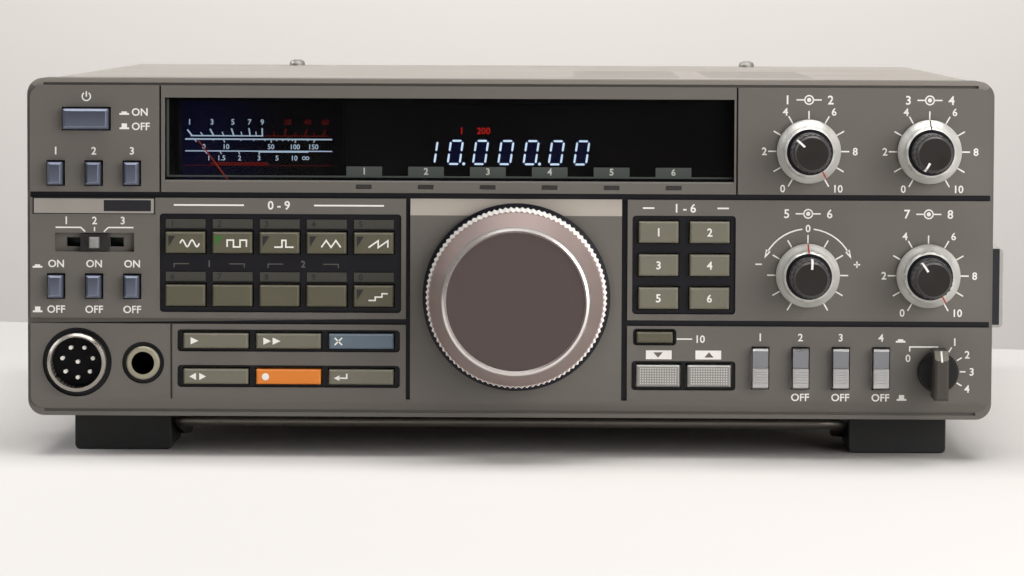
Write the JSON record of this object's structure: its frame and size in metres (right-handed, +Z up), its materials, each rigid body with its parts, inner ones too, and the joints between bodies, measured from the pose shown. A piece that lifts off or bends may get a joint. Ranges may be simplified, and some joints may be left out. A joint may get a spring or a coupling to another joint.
{
  "type": "hf transceiver",
  "caption": "Desktop HF transceiver: low steel case, moulded front panel with large tuning knob, dual ring knobs, keypads, meter and lit display, folding wire stand and side carrying strap.",
  "frame": {"origin": "on the table under the middle of the whole radio, knob front to heat sink back and side foot to handle", "axes": "+X to the right seen from the front, +Y from the front panel to the rear, +Z up"},
  "size_m": [0.28, 0.335, 0.1059],
  "materials": {
    "panel_plastic": "fine textured moulding",
    "cover_paint": "textured enamel on sheet steel",
    "chassis_steel": "zinc plated sheet",
    "sink_black": "black anodised extrusion",
    "window_acrylic": "smoked acrylic, polished",
    "display_black": "moulded",
    "board_green": "glass fibre boards with their components",
    "socket_nickel": "nickel plated",
    "foot_rubber": "moulded",
    "strap_black": "moulded strap in bright caps",
    "knob_satin": "turned, satin face over a bright knurl",
    "ring_chrome": "plated",
    "core_black": "moulded, satin",
    "button_silver": "metallic paint",
    "key_khaki": "satin",
    "key_grey": "fine texture",
    "key_orange": "satin",
    "key_blue": "satin",
    "needle_red": "painted",
    "bail_wire": "plated wire"
  },
  "bodies": {
    "cabinet": {"front_panel": "panel_plastic", "top_cover": "cover_paint", "bottom_cover": "cover_paint", "chassis": "chassis_steel", "heat_sink": "sink_black", "display_window": "window_acrylic", "meter_and_display": "display_black", "electronics": "board_green", "sockets": "socket_nickel", "feet": "foot_rubber", "carry_handle": "strap_black"},
    "tuning_knob": {"tuning_knob": "knob_satin"},
    "selector_knob": {"selector_knob": "core_black"},
    "power_button": {"power_button": "button_silver"},
    "meter_switch": {"meter_switch": "button_silver"},
    "step_key": {"step_key": "key_khaki"},
    "meter_needle": {"meter_needle": "needle_red"},
    "tilt_bail": {"tilt_bail": "bail_wire"},
    "band_key_1": {"band_key_1": "key_grey"},
    "band_key_2": {"band_key_2": "key_grey"},
    "ring_knob_1": {"ring_knob_1": "ring_chrome"},
    "core_knob_1": {"core_knob_1": "core_black"},
    "push_button_1": {"push_button_1": "button_silver"},
    "ring_knob_2": {"ring_knob_2": "ring_chrome"},
    "core_knob_2": {"core_knob_2": "core_black"},
    "push_button_2": {"push_button_2": "button_silver"},
    "ring_knob_3": {"ring_knob_3": "ring_chrome"},
    "core_knob_3": {"core_knob_3": "core_black"},
    "push_button_3": {"push_button_3": "button_silver"},
    "ring_knob_4": {"ring_knob_4": "ring_chrome"},
    "core_knob_4": {"core_knob_4": "core_black"},
    "push_button_4": {"push_button_4": "button_silver"},
    "upper_button_1": {"upper_button_1": "button_silver"},
    "lower_button_1": {"lower_button_1": "button_silver"},
    "upper_button_2": {"upper_button_2": "button_silver"},
    "lower_button_2": {"lower_button_2": "button_silver"},
    "upper_button_3": {"upper_button_3": "button_silver"},
    "lower_button_3": {"lower_button_3": "button_silver"},
    "memory_key_1": {"memory_key_1": "key_khaki"},
    "function_key_1": {"function_key_1": "key_khaki"},
    "memory_key_2": {"memory_key_2": "key_khaki"},
    "function_key_2": {"function_key_2": "key_khaki"},
    "memory_key_3": {"memory_key_3": "key_blue"},
    "function_key_3": {"function_key_3": "key_khaki"},
    "memory_key_4": {"memory_key_4": "key_khaki"},
    "function_key_4": {"function_key_4": "key_khaki"},
    "memory_key_5": {"memory_key_5": "key_orange"},
    "function_key_5": {"function_key_5": "key_khaki"},
    "memory_key_6": {"memory_key_6": "key_khaki"},
    "function_key_6": {"function_key_6": "key_khaki"},
    "mode_key_1": {"mode_key_1": "key_khaki"},
    "mode_key_2": {"mode_key_2": "key_khaki"},
    "mode_key_3": {"mode_key_3": "key_khaki"},
    "mode_key_4": {"mode_key_4": "key_khaki"},
    "mode_key_5": {"mode_key_5": "key_khaki"},
    "mode_key_6": {"mode_key_6": "key_khaki"},
    "mode_key_7": {"mode_key_7": "key_khaki"},
    "mode_key_8": {"mode_key_8": "key_khaki"},
    "mode_key_9": {"mode_key_9": "key_khaki"},
    "mode_key_10": {"mode_key_10": "key_khaki"}
  },
  "joints": [
    {"name": "tuning_knob_turn", "type": "hinge", "parent": "cabinet", "child": "tuning_knob", "pos_m": [0.00205, -0.155, 0.04535], "axis": [0, 1, 0], "continuous": true},
    {"name": "ring_knob_1_turn", "type": "hinge", "parent": "cabinet", "child": "ring_knob_1", "pos_m": [0.0833, -0.148, 0.0863], "axis": [0, 1, 0], "range_deg": [-297, 3]},
    {"name": "core_knob_1_turn", "type": "hinge", "parent": "cabinet", "child": "core_knob_1", "pos_m": [0.0833, -0.157, 0.0863], "axis": [0, 1, 0], "range_deg": [-102, 198]},
    {"name": "ring_knob_2_turn", "type": "hinge", "parent": "cabinet", "child": "ring_knob_2", "pos_m": [0.1169, -0.148, 0.0863], "axis": [0, 1, 0], "range_deg": [-150, 150]},
    {"name": "core_knob_2_turn", "type": "hinge", "parent": "cabinet", "child": "core_knob_2", "pos_m": [0.1169, -0.157, 0.0863], "axis": [0, 1, 0], "range_deg": [0, 300]},
    {"name": "ring_knob_3_turn", "type": "hinge", "parent": "cabinet", "child": "ring_knob_3", "pos_m": [0.0833, -0.148, 0.0517], "axis": [0, 1, 0], "range_deg": [-150, 150]},
    {"name": "core_knob_3_turn", "type": "hinge", "parent": "cabinet", "child": "core_knob_3", "pos_m": [0.0833, -0.157, 0.0517], "axis": [0, 1, 0], "range_deg": [-153, 147]},
    {"name": "ring_knob_4_turn", "type": "hinge", "parent": "cabinet", "child": "ring_knob_4", "pos_m": [0.1169, -0.148, 0.0517], "axis": [0, 1, 0], "range_deg": [-297, 3]},
    {"name": "core_knob_4_turn", "type": "hinge", "parent": "cabinet", "child": "core_knob_4", "pos_m": [0.1169, -0.157, 0.0517], "axis": [0, 1, 0], "range_deg": [-116, 184]},
    {"name": "selector_knob_turn", "type": "hinge", "parent": "cabinet", "child": "selector_knob", "pos_m": [0.1197, -0.153, 0.0249], "axis": [0, 1, 0], "range_deg": [0, 120]},
    {"name": "meter_needle_turn", "type": "hinge", "parent": "cabinet", "child": "meter_needle", "pos_m": [-0.0695, -0.131, 0.0635], "axis": [0, 1, 0], "range_deg": [0, 74], "stiffness_Nm_per_rad": 0.00002},
    {"name": "tilt_bail_turn", "type": "hinge", "parent": "cabinet", "child": "tilt_bail", "pos_m": [0, -0.103, 0.0039], "axis": [1, 0, 0], "range_deg": [0, 105]},
    {"name": "meter_switch_slide", "type": "slide", "parent": "cabinet", "child": "meter_switch", "axis": [1, 0, 0], "range_m": [-0.0068, 0.0068]},
    {"name": "power_button_press", "type": "slide", "parent": "cabinet", "child": "power_button", "axis": [0, 1, 0], "range_m": [0, 0.0025], "stiffness_N_per_m": 200},
    {"name": "step_key_press", "type": "slide", "parent": "cabinet", "child": "step_key", "axis": [0, 1, 0], "range_m": [0, 0.0015], "stiffness_N_per_m": 150},
    {"name": "band_key_1_press", "type": "slide", "parent": "cabinet", "child": "band_key_1", "axis": [0, 1, 0], "range_m": [0, 0.0015], "stiffness_N_per_m": 150},
    {"name": "band_key_2_press", "type": "slide", "parent": "cabinet", "child": "band_key_2", "axis": [0, 1, 0], "range_m": [0, 0.0015], "stiffness_N_per_m": 150},
    {"name": "push_button_1_press", "type": "slide", "parent": "cabinet", "child": "push_button_1", "axis": [0, 1, 0], "range_m": [0, 0.0025], "stiffness_N_per_m": 200},
    {"name": "push_button_2_press", "type": "slide", "parent": "cabinet", "child": "push_button_2", "axis": [0, 1, 0], "range_m": [0, 0.0025], "stiffness_N_per_m": 200},
    {"name": "push_button_3_press", "type": "slide", "parent": "cabinet", "child": "push_button_3", "axis": [0, 1, 0], "range_m": [0, 0.0025], "stiffness_N_per_m": 200},
    {"name": "push_button_4_press", "type": "slide", "parent": "cabinet", "child": "push_button_4", "axis": [0, 1, 0], "range_m": [0, 0.0025], "stiffness_N_per_m": 200},
    {"name": "upper_button_1_press", "type": "slide", "parent": "cabinet", "child": "upper_button_1", "axis": [0, 1, 0], "range_m": [0, 0.0025], "stiffness_N_per_m": 200},
    {"name": "lower_button_1_press", "type": "slide", "parent": "cabinet", "child": "lower_button_1", "axis": [0, 1, 0], "range_m": [0, 0.0025], "stiffness_N_per_m": 200},
    {"name": "upper_button_2_press", "type": "slide", "parent": "cabinet", "child": "upper_button_2", "axis": [0, 1, 0], "range_m": [0, 0.0025], "stiffness_N_per_m": 200},
    {"name": "lower_button_2_press", "type": "slide", "parent": "cabinet", "child": "lower_button_2", "axis": [0, 1, 0], "range_m": [0, 0.0025], "stiffness_N_per_m": 200},
    {"name": "upper_button_3_press", "type": "slide", "parent": "cabinet", "child": "upper_button_3", "axis": [0, 1, 0], "range_m": [0, 0.0025], "stiffness_N_per_m": 200},
    {"name": "lower_button_3_press", "type": "slide", "parent": "cabinet", "child": "lower_button_3", "axis": [0, 1, 0], "range_m": [0, 0.0025], "stiffness_N_per_m": 200},
    {"name": "memory_key_1_press", "type": "slide", "parent": "cabinet", "child": "memory_key_1", "axis": [0, 1, 0], "range_m": [0, 0.0015], "stiffness_N_per_m": 150},
    {"name": "function_key_1_press", "type": "slide", "parent": "cabinet", "child": "function_key_1", "axis": [0, 1, 0], "range_m": [0, 0.0015], "stiffness_N_per_m": 150},
    {"name": "memory_key_2_press", "type": "slide", "parent": "cabinet", "child": "memory_key_2", "axis": [0, 1, 0], "range_m": [0, 0.0015], "stiffness_N_per_m": 150},
    {"name": "function_key_2_press", "type": "slide", "parent": "cabinet", "child": "function_key_2", "axis": [0, 1, 0], "range_m": [0, 0.0015], "stiffness_N_per_m": 150},
    {"name": "memory_key_3_press", "type": "slide", "parent": "cabinet", "child": "memory_key_3", "axis": [0, 1, 0], "range_m": [0, 0.0015], "stiffness_N_per_m": 150},
    {"name": "function_key_3_press", "type": "slide", "parent": "cabinet", "child": "function_key_3", "axis": [0, 1, 0], "range_m": [0, 0.0015], "stiffness_N_per_m": 150},
    {"name": "memory_key_4_press", "type": "slide", "parent": "cabinet", "child": "memory_key_4", "axis": [0, 1, 0], "range_m": [0, 0.0015], "stiffness_N_per_m": 150},
    {"name": "function_key_4_press", "type": "slide", "parent": "cabinet", "child": "function_key_4", "axis": [0, 1, 0], "range_m": [0, 0.0015], "stiffness_N_per_m": 150},
    {"name": "memory_key_5_press", "type": "slide", "parent": "cabinet", "child": "memory_key_5", "axis": [0, 1, 0], "range_m": [0, 0.0015], "stiffness_N_per_m": 150},
    {"name": "function_key_5_press", "type": "slide", "parent": "cabinet", "child": "function_key_5", "axis": [0, 1, 0], "range_m": [0, 0.0015], "stiffness_N_per_m": 150},
    {"name": "memory_key_6_press", "type": "slide", "parent": "cabinet", "child": "memory_key_6", "axis": [0, 1, 0], "range_m": [0, 0.0015], "stiffness_N_per_m": 150},
    {"name": "function_key_6_press", "type": "slide", "parent": "cabinet", "child": "function_key_6", "axis": [0, 1, 0], "range_m": [0, 0.0015], "stiffness_N_per_m": 150},
    {"name": "mode_key_1_press", "type": "slide", "parent": "cabinet", "child": "mode_key_1", "axis": [0, 1, 0], "range_m": [0, 0.0015], "stiffness_N_per_m": 150},
    {"name": "mode_key_2_press", "type": "slide", "parent": "cabinet", "child": "mode_key_2", "axis": [0, 1, 0], "range_m": [0, 0.0015], "stiffness_N_per_m": 150},
    {"name": "mode_key_3_press", "type": "slide", "parent": "cabinet", "child": "mode_key_3", "axis": [0, 1, 0], "range_m": [0, 0.0015], "stiffness_N_per_m": 150},
    {"name": "mode_key_4_press", "type": "slide", "parent": "cabinet", "child": "mode_key_4", "axis": [0, 1, 0], "range_m": [0, 0.0015], "stiffness_N_per_m": 150},
    {"name": "mode_key_5_press", "type": "slide", "parent": "cabinet", "child": "mode_key_5", "axis": [0, 1, 0], "range_m": [0, 0.0015], "stiffness_N_per_m": 150},
    {"name": "mode_key_6_press", "type": "slide", "parent": "cabinet", "child": "mode_key_6", "axis": [0, 1, 0], "range_m": [0, 0.0015], "stiffness_N_per_m": 150},
    {"name": "mode_key_7_press", "type": "slide", "parent": "cabinet", "child": "mode_key_7", "axis": [0, 1, 0], "range_m": [0, 0.0015], "stiffness_N_per_m": 150},
    {"name": "mode_key_8_press", "type": "slide", "parent": "cabinet", "child": "mode_key_8", "axis": [0, 1, 0], "range_m": [0, 0.0015], "stiffness_N_per_m": 150},
    {"name": "mode_key_9_press", "type": "slide", "parent": "cabinet", "child": "mode_key_9", "axis": [0, 1, 0], "range_m": [0, 0.0015], "stiffness_N_per_m": 150},
    {"name": "mode_key_10_press", "type": "slide", "parent": "cabinet", "child": "mode_key_10", "axis": [0, 1, 0], "range_m": [0, 0.0015], "stiffness_N_per_m": 150}
  ]
}
